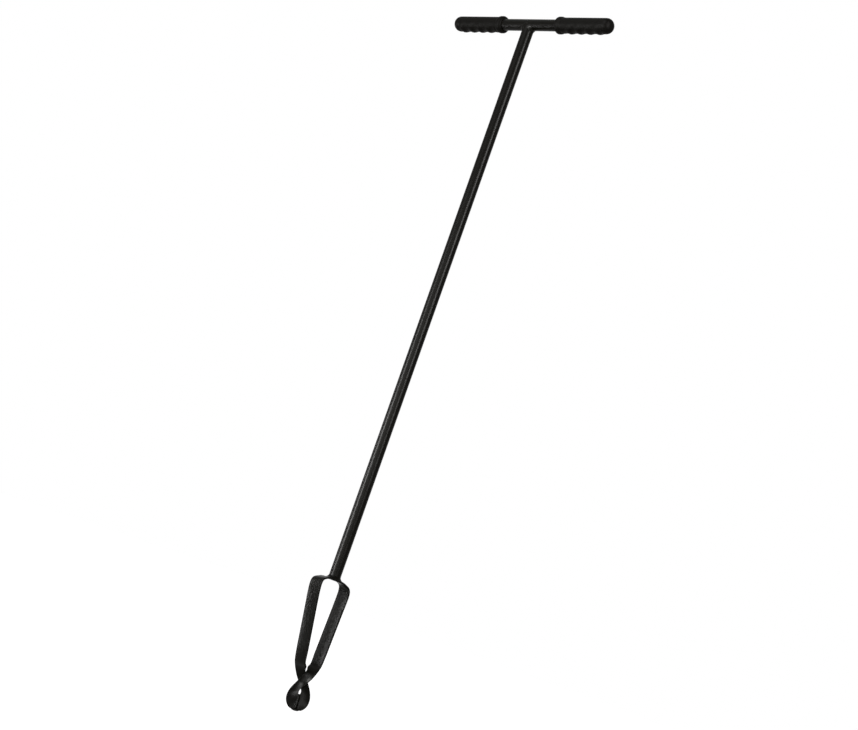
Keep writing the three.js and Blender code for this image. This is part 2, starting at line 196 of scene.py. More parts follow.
def make_piece(name, points, material, replaces, loop=False, sharp=40):
    """Makes a closed skin from a grid of points whose columns run round the piece.

    Where the rows don't close in a loop, each end is closed by a fan to the middle of its last row.
    """
    rows, columns = points.shape[:2]
    flat = points.reshape(-1, 3)
    quads = grid_faces(rows, columns, loop)
    fans = np.zeros((0, 3), int)
    if not loop:
        flat = np.vstack([flat, points[0].mean(axis=0), points[-1].mean(axis=0)])
        side = np.arange(columns)
        after = (side + 1) % columns
        last = (rows - 1) * columns
        start = np.stack([after, side, np.full(columns, rows * columns)], axis=1)
        end = np.stack([last + side, last + after, np.full(columns, rows * columns + 1)], axis=1)
        fans = np.vstack([start, end])
    triangles = np.vstack([quads[:, :3], quads[:, [0, 2, 3]], fans])
    if signed_volume(flat, triangles) < 0:
        quads, fans = quads[:, ::-1], fans[:, ::-1]
    mesh = bpy.data.meshes.new(name)
    mesh.from_pydata(flat.tolist(), [], quads.tolist() + fans.tolist())
    mesh.polygons.foreach_set("use_smooth", np.ones(len(mesh.polygons), bool))
    mesh.set_sharp_from_angle(angle=math.radians(sharp))
    mesh.update()
    piece = bpy.data.objects.new(name, mesh)
    bpy.context.scene.collection.objects.link(piece)
    mesh.materials.append(material)
    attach(piece, BODY)
    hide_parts(*replaces)


# Shader expressions


class Signal:
    """One output of a node. Arithmetic on it adds the Math nodes."""

    def __init__(self, sheet, socket):
        self.sheet = sheet
        self.socket = socket

    def math(self, operation, *values):
        sockets = dict(enumerate(values))
        return self.sheet.node("ShaderNodeMath", {"operation": operation}, sockets, "Value")

    def __add__(self, other):
        return self.math("ADD", self, other)

    def __sub__(self, other):
        return self.math("SUBTRACT", self, other)

    def __rsub__(self, other):
        return self.math("SUBTRACT", other, self)

    def __mul__(self, other):
        return self.math("MULTIPLY", self, other)

    __radd__ = __add__
    __rmul__ = __mul__

    def most(self, other):
        return self.math("MAXIMUM", self, other)

    def step(self, low, high):
        """0 below low and 1 above high, with a smooth rise between. High below low turns it round."""
        sockets = {"Value": self, "From Min": low, "From Max": high}
        return self.sheet.node("ShaderNodeMapRange", {"interpolation_type": "SMOOTHSTEP"}, sockets, "Result")


class Sheet:
    """The nodes of a material or a world, written as expressions."""

    def __init__(self, owner):
        owner.use_nodes = True
        self.owner = owner
        self.tree = owner.node_tree
        self.tree.nodes.clear()
        self.coords = None

    def node(self, kind, settings, sockets, output=None):
        """Adds a node. Its settings come first, then the values or links of its sockets."""
        made = self.tree.nodes.new(kind)
        for key, value in settings.items():
            setattr(made, key, value)
        for key, value in sockets.items():
            if isinstance(value, Signal):
                self.tree.links.new(value.socket, made.inputs[key])
            else:
                made.inputs[key].default_value = value
        return Signal(self, made.outputs[output]) if output is not None else made

    def on_object(self):
        """Patterns of this sheet read Object coordinates."""
        self.coords = self.node("ShaderNodeTexCoord", {}, {}, "Object")
        return self

    def in_sight(self):
        """1 for what the camera sees, straight, in a gloss or through glass, and 0 for light's own rays."""
        camera, glossy, clear = (
            self.node("ShaderNodeLightPath", {}, {}, f"Is {kind} Ray")
            for kind in ("Camera", "Glossy", "Transmission")
        )
        return camera.most(glossy).most(clear)

    def stretched(self, scale):
        """Object coordinates scaled along each axis."""
        sockets = {"Vector": self.coords, "Scale": scale}
        return self.node("ShaderNodeMapping", {}, sockets, "Vector")

    def noise(self, scale, detail=2.0, roughness=0.5, distortion=0.0, coords=None):
        sockets = {
            "Vector": coords or self.coords,
            "Scale": scale,
            "Detail": detail,
            "Roughness": roughness,
            "Distortion": distortion,
        }
        return self.node("ShaderNodeTexNoise", {}, sockets, "Fac")

    def cells(self, scale):
        sockets = {"Vector": self.coords, "Scale": scale, "Randomness": 1.0}
        return self.node("ShaderNodeTexVoronoi", {"feature": "F1"}, sockets, "Distance")

    def blend(self, share, first, second):
        """Mixes two colours by the share."""
        settings = {"data_type": "RGBA", "blend_type": "MIX"}
        made = self.node("ShaderNodeMix", settings, {"Factor": share})
        for place, colour in ((6, first), (7, second)):
            if isinstance(colour, Signal):
                self.tree.links.new(colour.socket, made.inputs[place])
            else:
                made.inputs[place].default_value = colour
        return Signal(self, made.outputs[2])

    def bump(self, height, distance):
        sockets = {"Height": height, "Distance": distance, "Strength": 1.0}
        return self.node("ShaderNodeBump", {}, sockets, "Normal")

    def finish(self, sockets):
        surface = self.node("ShaderNodeBsdfPrincipled", {}, sockets, "BSDF")
        self.node("ShaderNodeOutputMaterial", {}, {"Surface": surface})
        return self.owner


def new_finish(name):
    return Sheet(bpy.data.materials.new(name)).on_object()


def with_alpha(colour, factor=1.0):
    return tuple(channel * factor for channel in colour) + (1.0,)


def black_paint():
    """Semi-gloss stove paint: orange peel, cloudy gloss, faint rubbed streaks and settled dust."""
    looks = bpy.context.scene.auger_looks
    finish = new_finish("black_paint")
    peel = finish.noise(430, detail=2.0, roughness=0.45)
    waves = finish.noise(55, detail=1.0)
    clouds = finish.noise(22, detail=4.0, roughness=0.6)
    grain = finish.noise(2600, detail=2.0, roughness=0.6)
    streak_coords = finish.stretched((900, 900, 60))
    streaks = finish.noise(1, detail=3.0, roughness=0.65, coords=streak_coords).step(0.62, 0.78)
    specks = finish.cells(520).step(0.1, 0.04) * finish.noise(90, detail=1.0).step(0.52, 0.6)
    rubbed = finish.noise(9, detail=3.0).step(0.5, 0.7) * streaks
    base = finish.blend(clouds, with_alpha(looks.paint, 0.8), with_alpha(looks.paint, 1.2))
    worn = finish.blend(rubbed * 0.5 + specks * 0.35, base, with_alpha(looks.dust))
    roughness = looks.paint_roughness - 0.04 + clouds * 0.1 + rubbed * 0.1 + specks * 0.15
    height = peel * 0.6 + waves * 0.9 + grain * 0.05
    normal = finish.bump(height + specks * 0.4, 0.022 * MM)
    return finish.finish({
        "Base Color": worn,
        "Roughness": roughness,
        "Specular IOR Level": looks.paint_gloss,
        "Normal": normal,
    })


def grip_rubber():
    """Moulded rubber: fine spark-eroded grain, cloudy sheen and a few pale scuffs scattered by noise."""
    looks = bpy.context.scene.auger_looks
    finish = new_finish("grip_rubber")
    grain = finish.cells(1500)
    fine = finish.noise(3200, detail=2.0, roughness=0.6)
    clouds = finish.noise(35, detail=4.0, roughness=0.55)
    scuffs = finish.noise(160, detail=4.0, roughness=0.7, distortion=0.4).step(0.66, 0.76)
    base = finish.blend(clouds, with_alpha(looks.rubber, 0.75), with_alpha(looks.rubber, 1.25))
    worn = finish.blend(scuffs * 0.3, base, with_alpha(looks.dust))
    roughness = looks.rubber_roughness - 0.05 + clouds * 0.1 + scuffs * 0.1
    normal = finish.bump(grain * 0.7 + fine * 0.3, 0.06 * MM)
    return finish.finish({
        "Base Color": worn,
        "Roughness": roughness,
        "Specular IOR Level": looks.rubber_gloss,
        "Normal": normal,
    })


def finish_named(name, make):
    """The material of that name, made the first time it is asked for."""
    return bpy.data.materials.get(name) or make()


# The user's sizes and colours


class AugerSizes(bpy.types.PropertyGroup):
    tube_wall: FloatProperty(
        name="Tube wall", description="Wall of the shaft and the crossbar",
        default=1.5 * MM, min=0.8 * MM, max=3 * MM, unit="LENGTH", precision=4,
    )
    strap_width: FloatProperty(
        name="Strap width", description="Width of the flat bar that the bow and blades are bent from",
        default=27 * MM, min=15 * MM, max=40 * MM, unit="LENGTH", precision=4,
    )
    strap_thickness: FloatProperty(
        name="Strap thickness", description="Thickness of the flat bar",
        default=3 * MM, min=2 * MM, max=8 * MM, unit="LENGTH", precision=4,
    )
    strap_crown: FloatProperty(
        name="Strap crown", description="How far the legs' outer face arches across its width",
        default=0.8 * MM, min=0, max=3 * MM, unit="LENGTH", precision=4,
    )
    strap_edge: FloatProperty(
        name="Strap edge radius", description="Rounding of the flat bar's long edges",
        default=0.8 * MM, min=0.2 * MM, max=2 * MM, unit="LENGTH", precision=4,
    )
    weld_ripple: FloatProperty(
        name="Weld ripple", description="Height of the ripples on the weld beads",
        default=0.22 * MM, min=0, max=0.6 * MM, unit="LENGTH", precision=5,
    )
    finger_depth: FloatProperty(
        name="Finger ridge height", description="Height of the ridges between the fingers",
        default=1.6 * MM, min=0, max=4 * MM, unit="LENGTH", precision=4,
    )
    finger_pitch: FloatProperty(
        name="Finger pitch", description="Distance from one finger ridge to the next",
        default=21 * MM, min=15 * MM, max=30 * MM, unit="LENGTH", precision=4,
    )
    finger_grooves: IntProperty(
        name="Finger grooves", description="Number of finger grooves on each grip", default=4, min=0, max=5,
    )
    tube_facets: IntProperty(
        name="Facets round", description="Facets round each tube and weld", default=96, min=24, max=192,
    )


class AugerLooks(bpy.types.PropertyGroup):
    paint: FloatVectorProperty(
        name="Paint", description="Colour of the black paint on the steel",
        default=(0.0038, 0.0033, 0.0022), subtype="COLOR", size=3, min=0, max=1,
    )
    rubber: FloatVectorProperty(
        name="Rubber", description="Colour of the moulded grips",
        default=(0.0028, 0.0024, 0.0016), subtype="COLOR", size=3, min=0, max=1,
    )
    dust: FloatVectorProperty(
        name="Dust and rubs", description="Colour of the faint dust and rubbed streaks",
        default=(0.03, 0.028, 0.024), subtype="COLOR", size=3, min=0, max=1,
    )
    paint_roughness: FloatProperty(
        name="Paint roughness", description="Roughness of the paint", default=0.3, min=0, max=1,
    )
    rubber_roughness: FloatProperty(
        name="Rubber roughness", description="Roughness of the grips", default=0.5, min=0, max=1,
    )
    paint_gloss: FloatProperty(
        name="Paint gloss", description="How much light the paint mirrors head on",
        default=0.032, min=0, max=1,
    )
    rubber_gloss: FloatProperty(
        name="Rubber gloss", description="How much light the grips mirror head on",
        default=0.02, min=0, max=1,
    )
    fill: FloatProperty(
        name="Fill light", description="Strength of the even light from all round", default=0.5, min=0, max=2,
    )
    backdrop: FloatVectorProperty(
        name="Backdrop", description="Colour of the studio's floor and background",
        default=(1.0, 1.0, 1.0), subtype="COLOR", size=3, min=0, max=1,
    )


# Tubes

TUBE_ROWS = 25


def tube_points(radius, bore, low, high, facets):
    """Wall of a tube along Z, as a loop of rows: up the outside, then down the bore.

    A row is a circle of the row's radius at the row's height. Low and high may be arrays over the
    facets and two radii, so that an end can be cut to a shape.
    """
    angle = np.linspace(0, 2 * np.pi, facets, endpoint=False)
    shares = np.linspace(0, 1, TUBE_ROWS)[:, None]
    outside = lerp(low[0], high[0], shares) * np.ones_like(angle)
    inside = lerp(low[1], high[1], shares[::-1]) * np.ones_like(angle)
    heights = np.vstack([outside, inside])
    radii = np.repeat([radius, bore], TUBE_ROWS)[:, None]
    return np.stack([radii * np.cos(angle), radii * np.sin(angle), heights], axis=-1)


class AUGER_OT_tubes(bpy.types.Operator):
    """Make the crossbar and the shaft, whose top is coped round the crossbar"""

    bl_idname = "auger.tubes"
    bl_label = "Tubes"

    def execute(self, context):
        sizes = context.scene.auger_sizes
        paint = finish_named("black_paint", black_paint)
        facets = sizes.tube_facets
        bore = TUBE_RADIUS - sizes.tube_wall
        ends = ([CROSSBAR_LOW.x] * 2, [CROSSBAR_HIGH.x] * 2)
        crossbar = tube_points(TUBE_RADIUS, bore, *ends, facets)
        crossbar = crossbar[..., [2, 0, 1]] + np.array([0, 0, HANDLE_HEIGHT])
        make_piece("crossbar_tube", crossbar, paint, ["crossbar"], loop=True)
        angle = np.linspace(0, 2 * np.pi, facets, endpoint=False)
        cope = []
        for radius in (TUBE_RADIUS, bore):
            drop = np.sqrt((TUBE_RADIUS + CLEARANCE) ** 2 - (radius * np.sin(angle)) ** 2)
            cope.append(HANDLE_HEIGHT - drop)
        shaft = tube_points(TUBE_RADIUS, bore, [SHAFT_FOOT] * 2, cope, facets)
        make_piece("shaft_tube", shaft, paint, ["shaft"], loop=True)
        return {"FINISHED"}


# Grips

GRIP_INNER_RADIUS = 11.4 * MM
GRIP_CONE = 4 * MM
GRIP_LAND = 4 * MM
GRIP_FALL = 5 * MM
FINGER_LEAD = 7.4 * MM
GRIP_DOME = 13 * MM
GRIP_TOP_RADIUS = 13.4 * MM
GRIP_UNDER_RADIUS = 13.1 * MM
GRIP_FACETS = 144
RECESS_DEPTH = 4.5 * MM
PARTING_HEIGHT = 0.14 * MM
PARTING_WIDTH = 0.35 * MM


def grip_radius(distance, angle, sizes, length, flange_radius):
    """Outside of a grip as a radius over the distance from its inner end and the angle round it.

    A quarter sine rises to the flange's land, half a cosine falls from it to the body, the ridges between
    the fingers are cosines cubed that fade out towards the top, and a squarish ellipse closes the end.
    The mould's parting line is a fine bell-shaped ridge along both sides.
    """
    under = np.maximum(0, -np.sin(angle)) ** 1.5
    body = lerp(GRIP_TOP_RADIUS, GRIP_UNDER_RADIUS, under)
    past_land = distance - GRIP_CONE - GRIP_LAND
    rise = np.sin(np.clip(distance / GRIP_CONE, 0, 1) * np.pi / 2)
    cone = lerp(GRIP_INNER_RADIUS, flange_radius, rise)
    fall = (1 - np.cos(np.clip(past_land / GRIP_FALL, 0, 1) * np.pi)) / 2
    flange = lerp(flange_radius, body, fall)
    grooves = (distance - GRIP_CONE - FINGER_LEAD) / sizes.finger_pitch
    ridge = np.abs(np.cos(np.pi * grooves)) ** 3 * (grooves < sizes.finger_grooves + 0.5)
    ease = np.clip(past_land / GRIP_FALL - 1, 0, 1)
    share = np.clip((distance - (length - GRIP_DOME)) / GRIP_DOME, 0, 1)
    shaped = (body + under * sizes.finger_depth * ridge * ease) * (1 - share**2.4) ** (1 / 2.4)
    radius = np.where(distance < GRIP_CONE, cone, np.where(past_land < GRIP_FALL, flange, shaped))
    side = np.abs(np.sin(angle)) * GRIP_TOP_RADIUS
    seam = PARTING_HEIGHT * np.exp(-((side / PARTING_WIDTH) ** 2)) * (1 - share**4)
    return radius + seam * smoothstep(distance, 0, GRIP_CONE)


def grip_points(sizes):
    """A grip along +X from its inner end: rows out over the outside, then a small recess at the end."""
    length = GRIP_HIGH.x - GRIP_LOW.x
    flange_radius = (GRIP_HIGH.z - GRIP_LOW.z) / 2
    dome_start = length - GRIP_DOME
    body = np.arange(0.25 * MM, dome_start, 0.7 * MM)
    turn = np.linspace(0, 0.995, 24) * np.pi / 2
    distance = np.concatenate([body, dome_start + GRIP_DOME * np.sin(turn)])
    angle = np.linspace(0, 2 * np.pi, GRIP_FACETS, endpoint=False)
    radius = grip_radius(distance[:, None], angle[None, :], sizes, length, flange_radius)
    bore = TUBE_RADIUS + 0.02 * MM
    lip = np.array([length - RECESS_DEPTH, CLEARANCE, 0, 0.05 * MM])
    lip_radius = np.array([bore, bore, GRIP_INNER_RADIUS - 0.5 * MM, GRIP_INNER_RADIUS - 0.12 * MM])
    flat_row = np.zeros(GRIP_FACETS)
    along = np.concatenate([lip, distance])[:, None] + flat_row
    out = np.vstack([lip_radius[:, None] + flat_row, radius])
    return np.stack([along, out * np.cos(angle), out * np.sin(angle)], axis=-1)


class AUGER_OT_grips(bpy.types.Operator):
    """Make the two moulded grips with their flange, finger ridges, parting line and closed end"""

    bl_idname = "auger.grips"
    bl_label = "Grips"

    def execute(self, context):
        rubber = finish_named("grip_rubber", grip_rubber)
        right = grip_points(context.scene.auger_sizes) + [GRIP_LOW.x, 0, HANDLE_HEIGHT]
        left = right * [-1, 1, 1] + [2 * HANDLE_MIDDLE, 0, 0]
        make_piece("right_grip_sleeve", right, rubber, ["right_grip"])
        make_piece("left_grip_sleeve", left, rubber, ["left_grip"])
        return {"FINISHED"}


# Welds

BEAD_ROWS = 13
TOE_OVERLAP = 0.05 * MM
HANDLE_BEAD_LEG = 5.5 * MM
CROWN_BEAD_LEG = 6 * MM
SEAM_RADIUS = 2.8 * MM
SEAM_RIPPLE_PITCH = 1.9 * MM


def bead_section(low_toe, middle, high_toe):
    """Curve of a bead's face: the parabola from toe to toe through the middle of the throat."""
    pull = 2 * middle - (low_toe + high_toe) / 2
    t = np.linspace(0, 1, BEAD_ROWS)[:, None, None]
    return low_toe * (1 - t) ** 2 + pull * 2 * t * (1 - t) + high_toe * t**2


def ripples(angle, count, height):
    """Overlapping scallops along a bead: a sharpened cosine whose phase lags towards both toes."""
    shares = np.linspace(0, 1, BEAD_ROWS)
    lag = 0.9 * (2 * shares - 1) ** 2
    wave = 0.5 + 0.5 * np.cos(count * angle[None, :] - 2 * np.pi * lag[:, None])
    return height * (wave**1.6) * np.sin(np.pi * shares[:, None]) ** 0.5


def handle_fillet_points(sizes):
    """Bead where the shaft meets the crossbar, one section for each angle round the shaft.

    The two tubes meet at the angle's sine along the shaft's wall. The lower toe lies on the shaft, the
    upper toe on the crossbar, and the throat stands out between them.
    """
    angle = np.linspace(0, 2 * np.pi, 2 * sizes.tube_facets, endpoint=False)
    across, along = np.cos(angle), np.sin(angle)
    zero = np.zeros_like(angle)
    meeting = HANDLE_HEIGHT - TUBE_RADIUS * np.abs(across)
    shaft_normal = np.stack([across, along, zero], axis=1)
    bar_normal = np.stack([zero, along, -np.abs(across)], axis=1)
    outward = unit(shaft_normal + bar_normal)
    corner = np.stack([TUBE_RADIUS * across, TUBE_RADIUS * along, meeting], axis=1)
    leg = HANDLE_BEAD_LEG * lerp(0.55, 1, np.abs(across))
    reach = TUBE_RADIUS - TOE_OVERLAP
    low_toe = shaft_normal * reach
    low_toe[:, 2] = meeting - leg
    turn = np.arcsin(np.clip(along, -1, 1)) + leg / TUBE_RADIUS * along * np.abs(along) * 0.55
    side = corner[:, 0] + leg * across
    high_toe = np.stack([side, reach * np.sin(turn), HANDLE_HEIGHT - reach * np.cos(turn)], axis=1)
    throat = lerp(0.35 * MM, 0.42 * HANDLE_BEAD_LEG, across**2)
    middle = corner + outward * throat[:, None]
    section = bead_section(low_toe, middle, high_toe)
    lift = ripples(angle, 34, sizes.weld_ripple) * lerp(0.2, 1, across**2)
    section = section + outward * lift[..., None]
    root = corner - outward * 2.5 * MM
    return np.concatenate([root[None], section])


def crown_fillet_points(sizes):
    """Bead round the shaft's foot: a fillet that is wide along the bow and narrow at the strap's edges."""
    angle = np.linspace(0, 2 * np.pi, 2 * sizes.tube_facets, endpoint=False)
    leg = lerp(1.9 * MM, CROWN_BEAD_LEG, np.sin(angle) ** 2)
    round_out = np.stack([np.cos(angle), np.sin(angle)], axis=1)
    toe_radius = TUBE_RADIUS + leg

    def ring(radius, rise):
        flat = round_out * np.reshape(radius, (-1, 1))
        return np.column_stack([flat, np.full(len(angle), HEAD_LENGTH - LEAN_SINK + rise)])

    low_toe = ring(toe_radius, -0.25 * MM)
    high_toe = ring(np.full_like(angle, TUBE_RADIUS - TOE_OVERLAP), 5.2 * MM)
    middle = ring(TUBE_RADIUS + leg * 0.34, 1.9 * MM)
    outward = unit(np.column_stack([round_out, np.ones_like(angle)]))
    section = bead_section(low_toe, middle, high_toe)
    section = section + outward * ripples(angle, 30, sizes.weld_ripple)[..., None]
    inner_high = ring(np.full_like(angle, TUBE_RADIUS - 1 * MM), 4.5 * MM)
    inner_low = ring(np.full_like(angle, TUBE_RADIUS - 1 * MM), -1.5 * MM)
    under = ring(TUBE_RADIUS + leg * 0.8, -1.5 * MM)
    return np.concatenate([under[None], section, inner_high[None], inner_low[None]])


def point_bead_points():
    """Bead under the two blade ends: an ellipsoid, longer along the blades than across them."""
    angle = np.linspace(0, 2 * np.pi, 64, endpoint=False)
    turn = np.linspace(0.02, np.pi - 0.02, 25)[:, None]
    x = 8.2 * MM * np.sin(turn) * np.cos(angle)
    y = 6.0 * MM * np.sin(turn) * np.sin(angle)
    z = -HEAD_LENGTH + 2.5 * MM - 2.4 * MM * np.cos(turn) * np.ones_like(angle)
    return head_to_world(np.stack([x, y, z], axis=-1))


def point_seam_points(sizes):
    """Seam that joins the blades above the point: an upright bar of round section with rounded ends.

    Its radius is the sine of the share of its height, to a small power, with a fine ripple along it.
    """
    angle = np.linspace(0, 2 * np.pi, 48, endpoint=False)
    turn = np.linspace(0.02, np.pi - 0.02, 81)[:, None]
    height = lerp(1.5 * MM, 28 * MM, (1 - np.cos(turn)) / 2)
    ripple = 1 + 0.25 * sizes.weld_ripple / MM * np.cos(2 * np.pi * height / SEAM_RIPPLE_PITCH)
    radius = SEAM_RADIUS * np.sin(turn) ** 0.4 * ripple
    x = 0.2 * MM + radius * np.cos(angle)
    y = -0.3 * MM + radius * np.sin(angle)
    z = height - HEAD_LENGTH + np.zeros_like(x)
    return head_to_world(turned_about_z(np.stack([x, y, z], axis=-1), LEAN_AZIMUTH))


class AUGER_OT_welds(bpy.types.Operator):
    """Make the weld beads at the handle, on the crown and at the point"""

    bl_idname = "auger.welds"
    bl_label = "Welds"

    def execute(self, context):
        sizes = context.scene.auger_sizes
        paint = finish_named("black_paint", black_paint)
        make_piece("handle_fillet", handle_fillet_points(sizes), paint, ["handle_weld"], loop=True, sharp=60)
        make_piece("crown_fillet", crown_fillet_points(sizes), paint, ["head_weld"], loop=True, sharp=60)
        make_piece("point_bead", point_bead_points(), paint, ["tip_weld"])
        make_piece("point_seam", point_seam_points(sizes), paint, ["tip_weld"])
        return {"FINISHED"}


# Bow and blades


def strap_section(half_width, thickness, crown, edge):
    """Outline of the flat bar across its path, as offsets across and along the normal.

    A rectangle with quarter-round corners, both of whose faces arch by the crown: the lift is the crown
    times one less the squared share across. Inputs are arrays over the path.
    """
    edge = np.minimum(edge, 0.47 * thickness)
    flat = np.linspace(-1, 1, 15)
    corner = np.linspace(0, np.pi / 2, 6)[1:]
    centre_shares = np.concatenate([flat, np.ones(10), -flat, -np.ones(10)])
    turns = np.concatenate([
        np.full(15, np.pi / 2), np.pi / 2 - corner, -corner,
        np.full(15, -np.pi / 2), -np.pi / 2 - corner, -np.pi - corner,
    ])
    sides = np.where(np.sin(turns) > 1e-9, 1.0, np.where(np.sin(turns) < -1e-9, -1.0, 0.0))
    sides[19], sides[44] = 1.0, -1.0
    across = (half_width - edge)[:, None] * centre_shares + edge[:, None] * np.cos(turns)
    along = (thickness / 2 - edge)[:, None] * sides + edge[:, None] * np.sin(turns)
    share = across / half_width[:, None]
    return across, along + crown[:, None] * (1 - share**2)


def strap_points(lefts, rights, normals, thickness, crown, edge):
    """Skin of the flat bar between two edge lines, one outline at each place along them."""
    middle = (lefts + rights) / 2
    half = (rights - lefts) / 2
    half_width = np.linalg.norm(half, axis=1)
    across, along = strap_section(half_width, thickness, crown, edge)
    direction = half / half_width[:, None]
    return middle[:, None] + direction[:, None] * across[..., None] + normals[:, None] * along[..., None]


def leg_half_width(depth):
    share = (depth - BOW_DEPTH) / (LEG_END_DEPTH - BOW_DEPTH)
    return lerp(BOW_HALF_WIDTH, LEG_END_HALF_WIDTH, share)


LEG_SLOPE = (BOW_HALF_WIDTH - LEG_END_HALF_WIDTH) / (LEG_END_DEPTH - BOW_DEPTH)


def crown_lift(points):
    """Height of the bow over the legs' leaning frame.

    The crown is level, so the lift undoes the lean there: less the distance towards the lean times its
    tangent. The shoulders twist by a share of the place across the strap. Both fade out down to the legs.
    """
    x, y, z = np.moveaxis(points, -1, 0)
    level = -(x * math.cos(LEAN_AZIMUTH) + y * math.sin(LEAN_AZIMUTH)) * math.tan(HEAD_LEAN)
    share = smoothstep(np.abs(y), TWIST_START, TWIST_END)
    twist = -CROWN_TWIST * x / TWIST_REACH * np.sign(y) * share
    return (level + twist) * (1 - smoothstep(-z, BOW_ARCH + 3 * MM, BOW_DEPTH))


def bow_points(sizes):
    """The bow from the left leg over the crown to the right leg.

    Each half is a cubic curve from the crown's flat middle to the leg, with the leg's slope at its end.
    The left half is the right half turned half round.
    """
    rise = BOW_DEPTH * LEG_REACH_SHARE
    top = -sizes.strap_thickness / 2
    controls = np.array([
        [BOW_HALF_WIDTH * CROWN_FLAT_SHARE, top],
        [BOW_HALF_WIDTH * CROWN_REACH_SHARE, top - BOW_ARCH],
        [BOW_HALF_WIDTH + LEG_SLOPE * rise, rise - BOW_DEPTH],
        [BOW_HALF_WIDTH, -BOW_DEPTH],
    ])
    t = np.linspace(0, 1, 65)[:, None]
    weights = [(1 - t) ** 3, 3 * t * (1 - t) ** 2, 3 * t**2 * (1 - t), t**3]
    curve = sum(weight * control for weight, control in zip(weights, controls))
    speed = 3 * ((1 - t) ** 2 * (controls[1] - controls[0]) + 2 * t * (1 - t) * (controls[2] - controls[1])
                 + t**2 * (controls[3] - controls[2]))
    speed[0] = [1, 0]
    flat = np.column_stack([np.linspace(0.5 * MM, controls[0, 0], 12)[:-1], np.full(11, top)])
    leg = np.array([[leg_half_width(d), -d] for d in np.linspace(BOW_DEPTH, BLADE_START, 5)[1:]])
    leg_speed = np.tile([-LEG_SLOPE, -1.0], (4, 1))
    half = np.vstack([flat, curve, leg])
    along = unit(np.vstack([np.tile([1.0, 0], (11, 1)), speed, leg_speed]))
    normal = np.column_stack([-along[:, 1], along[:, 0]])
    path = np.vstack([half[::-1] * [-1, 1], half])
    normals = np.vstack([normal[::-1] * [-1, 1], normal])
    zero = np.zeros(len(path))
    width = np.full(len(path), sizes.strap_width / 2)
    lefts = np.column_stack([-width, path])
    rights = np.column_stack([width, path])
    crown = sizes.strap_crown * smoothstep(-path[:, 1], BOW_ARCH + sizes.strap_thickness, BOW_DEPTH)
    thickness = np.full(len(path), sizes.strap_thickness)
    normals = np.column_stack([zero, normals])
    points = strap_points(lefts, rights, normals, thickness, crown, sizes.strap_edge)
    points[..., 2] += crown_lift(points)
    return head_to_world(points)


def edge_points(table, thickness):
    """Places of an edge below the leg: shares times the point's radius, turned to the lean's azimuth."""
    depth = lerp(LEG_END_DEPTH, HEAD_LENGTH, table[:, 0])
    across = table[:, 1] * POINT_RADIUS
    front = table[:, 2] * POINT_RADIUS + table[:, 3] * thickness
    return turned_about_z(np.column_stack([across, -front, -depth]), LEAN_AZIMUTH)


def blade_points(sizes, turn):
    """A blade from the bow to the point, between its sweeping and its lapping edge.

    Both faces arch against the normals, as the bow's do, the bar thins towards the point, and the last
    few millimetres close in a quarter ellipse.
    """
    depth = lerp(BLADE_START, LEG_END_DEPTH, LEG_PLACES)
    half = np.full(4, sizes.strap_width / 2)
    leg_sweeping = np.column_stack([-half, leg_half_width(depth), -depth])
    leg_lapping = np.column_stack([half, leg_half_width(depth), -depth])
    sweeping = np.vstack([leg_sweeping, edge_points(SWEEPING_EDGE, sizes.strap_thickness)])
    lapping = np.vstack([leg_lapping, edge_points(LAPPING_EDGE, sizes.strap_thickness)])
    shares = np.linspace(0, 1, 241)
    places = shares * (len(sweeping) - 1)
    lefts = spline_points(sweeping, places)
    rights = spline_points(lapping, places)
    down = np.gradient(lefts + rights, axis=0)
    normals = unit(np.cross(down, rights - lefts))
    crown = np.full(len(shares), -sizes.strap_crown)
    thickness = sizes.strap_thickness * lerp(1, 0.7, smoothstep(shares, 0.6, 1))
    close = np.clip((shares - 0.985) / 0.015, 0, 1)
    rounding = np.sqrt(np.maximum(1 - close**2, 0.0004))
    middle = (lefts + rights) / 2
    lefts = lerp(middle, lefts, lerp(0.7, 1, rounding)[:, None])
    rights = lerp(middle, rights, lerp(0.7, 1, rounding)[:, None])
    edge = np.full(len(shares), sizes.strap_edge) * lerp(0.4, 1, rounding)
    points = strap_points(lefts, rights, normals, thickness * rounding, crown, edge)
    return head_to_world(turned_about_z(points, turn))


class AUGER_OT_head(bpy.types.Operator):
    """Make the bow and the two blades that cross below it"""

    bl_idname = "auger.head"
    bl_label = "Head"

    def execute(self, context):
        sizes = context.scene.auger_sizes
        paint = finish_named("black_paint", black_paint)
        make_piece("bow_strap", bow_points(sizes), paint, ["bow"])
        nodes = ["right_blade", "right_blade_weld"]
        make_piece("right_blade_strap", blade_points(sizes, 0), paint, nodes)
        nodes = ["left_blade", "left_blade_weld"]
        make_piece("left_blade_strap", blade_points(sizes, math.pi), paint, nodes)
        return {"FINISHED"}


# Studio

FLOOR_REACH = 30.0
FLOOR_HEIGHT = -0.4
FLOOR_GLOW = 0.72
CAMERA_AZIMUTH = LEAN_AZIMUTH
PHOTO_WIDTH = 858
FOCAL_PIXELS = 1839.2

# Lamps that only show mirrored in the paint: name, azimuth off the camera's direction in degrees,
# distance, height of the lower and the upper edge, width and power
MIRRORED_LAMPS = (
    ("right_strip", 31, 2.0, 0.63, 2.4, 0.5, 175.0),
    ("left_strip", -64, 2.0, 0.1, 0.92, 0.6, 165.0),
    ("front_strip", -20, 2.0, 0.25, 1.2, 1.9, 46.0),
    ("edge_strip", -107, 2.0, -0.7, 0.8, 0.08, 26.0),
    ("low_strip", 4, 0.6, -0.38, -0.12, 0.36, 14.0),
    ("top_softbox", -55, 4.5, 3.4, 5.8, 3.6, 650.0),
)


